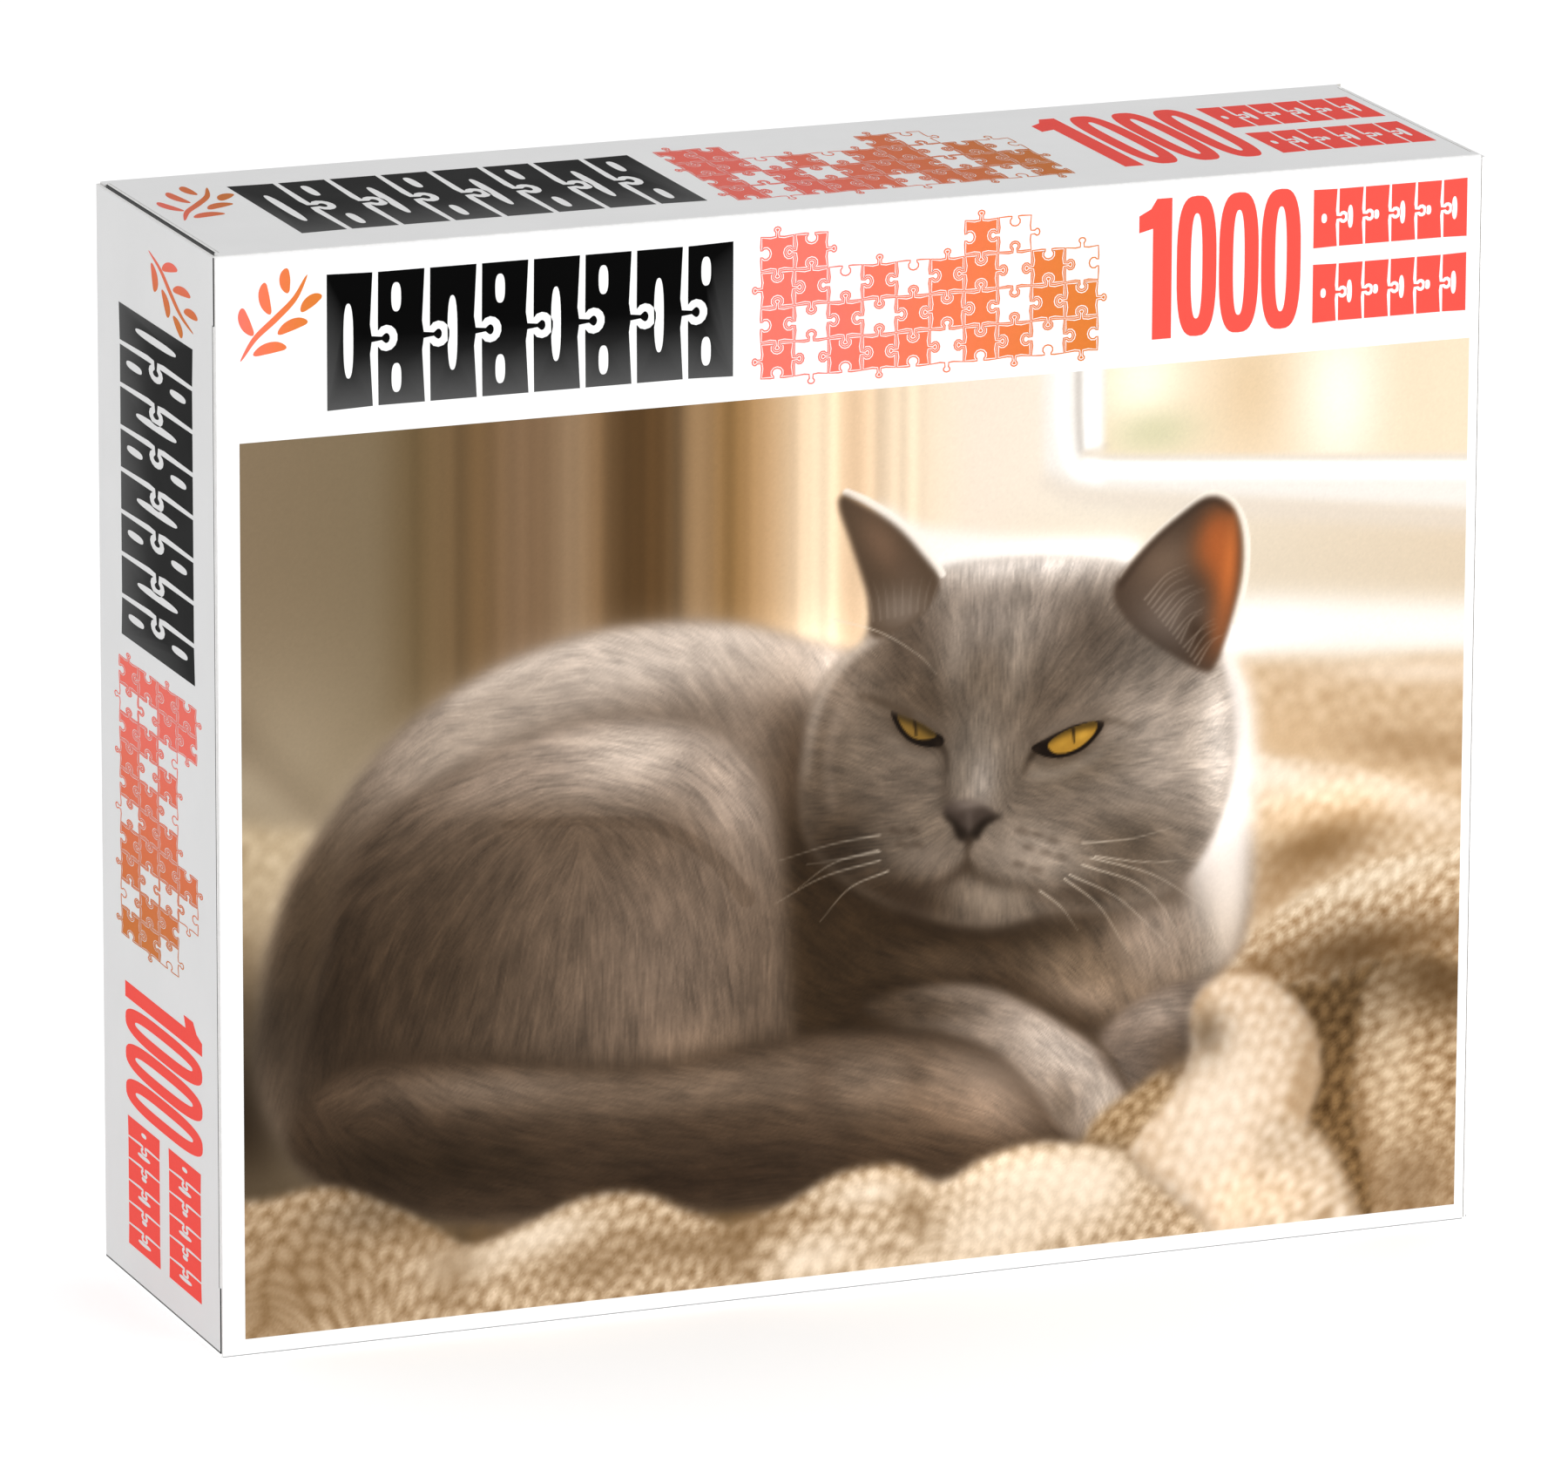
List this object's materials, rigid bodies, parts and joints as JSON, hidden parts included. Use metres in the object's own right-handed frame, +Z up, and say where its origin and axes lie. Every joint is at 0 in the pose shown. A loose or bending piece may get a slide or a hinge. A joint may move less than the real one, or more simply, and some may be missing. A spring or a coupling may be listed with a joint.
{
  "type": "boxed jigsaw puzzle",
  "caption": "Tuck-end carton standing on its long side, with hinged end panels, tuck and dust flaps, and a sealed bag of loose jigsaw pieces that slides inside.",
  "frame": {"origin": "centre of the carton's base, on the surface it stands on", "axes": "+X to the right along the front, +Y from the printed front to the back, +Z up"},
  "size_m": [0.25, 0.068, 0.207],
  "materials": {
    "printed_board": "satin",
    "plain_board": "matte",
    "clear_film": "gloss",
    "puzzle_board": "satin"
  },
  "bodies": {
    "tube": {"front_panel": "printed_board", "top_panel": "printed_board", "back_panel": "printed_board", "bottom_panel": "printed_board", "glue_flap": "plain_board"},
    "left_end": {"left_end_panel": "printed_board"},
    "left_tuck": {"left_tuck_flap": "plain_board"},
    "left_upper_dust": {"left_upper_dust_flap": "plain_board"},
    "left_lower_dust": {"left_lower_dust_flap": "plain_board"},
    "right_end": {"right_end_panel": "printed_board"},
    "right_tuck": {"right_tuck_flap": "plain_board"},
    "right_upper_dust": {"right_upper_dust_flap": "plain_board"},
    "right_lower_dust": {"right_lower_dust_flap": "plain_board"},
    "bag": {"bag_film": "clear_film", "bag_top_seal": "clear_film", "bag_bottom_seal": "clear_film", "bag_back_seam": "clear_film", "jigsaw_fill": "puzzle_board", "jigsaw_top_pieces": "puzzle_board"}
  },
  "joints": [
    {"name": "left_end_hinge", "type": "hinge", "parent": "tube", "child": "left_end", "pos_m": [-0.125, 0.034, 0.1035], "axis": [0, 0, -1], "range_deg": [0, 115]},
    {"name": "left_tuck_crease", "type": "hinge", "parent": "left_end", "child": "left_tuck", "pos_m": [-0.125, -0.03305, 0.1035], "axis": [0, 0, -1], "range_deg": [0, 46]},
    {"name": "left_upper_dust_hinge", "type": "hinge", "parent": "tube", "child": "left_upper_dust", "pos_m": [-0.12405, 0, 0.207], "axis": [0, 1, 0], "range_deg": [0, 80.5]},
    {"name": "left_lower_dust_hinge", "type": "hinge", "parent": "tube", "child": "left_lower_dust", "pos_m": [-0.12405, 0, 0], "axis": [0, -1, 0], "range_deg": [0, 80.5]},
    {"name": "right_end_hinge", "type": "hinge", "parent": "tube", "child": "right_end", "pos_m": [0.125, -0.034, 0.1035], "axis": [0, 0, -1], "range_deg": [0, 115]},
    {"name": "right_tuck_crease", "type": "hinge", "parent": "right_end", "child": "right_tuck", "pos_m": [0.125, 0.03305, 0.1035], "axis": [0, 0, -1], "range_deg": [0, 46]},
    {"name": "right_upper_dust_hinge", "type": "hinge", "parent": "tube", "child": "right_upper_dust", "pos_m": [0.12405, 0, 0.207], "axis": [0, -1, 0], "range_deg": [0, 80.5]},
    {"name": "right_lower_dust_hinge", "type": "hinge", "parent": "tube", "child": "right_lower_dust", "pos_m": [0.12405, 0, 0], "axis": [0, 1, 0], "range_deg": [0, 80.5]},
    {"name": "bag_slide", "type": "slide", "parent": "tube", "child": "bag", "axis": [1, 0, 0], "range_m": [-0.02, 0.02]}
  ],
  "couplings": [
    {"joint": "left_tuck_crease", "follows": "left_end_hinge", "ratio": 0.4},
    {"joint": "left_upper_dust_hinge", "follows": "left_end_hinge", "ratio": 0.7},
    {"joint": "left_lower_dust_hinge", "follows": "left_end_hinge", "ratio": 0.7},
    {"joint": "right_tuck_crease", "follows": "right_end_hinge", "ratio": 0.4},
    {"joint": "right_upper_dust_hinge", "follows": "right_end_hinge", "ratio": 0.7},
    {"joint": "right_lower_dust_hinge", "follows": "right_end_hinge", "ratio": 0.7}
  ]
}
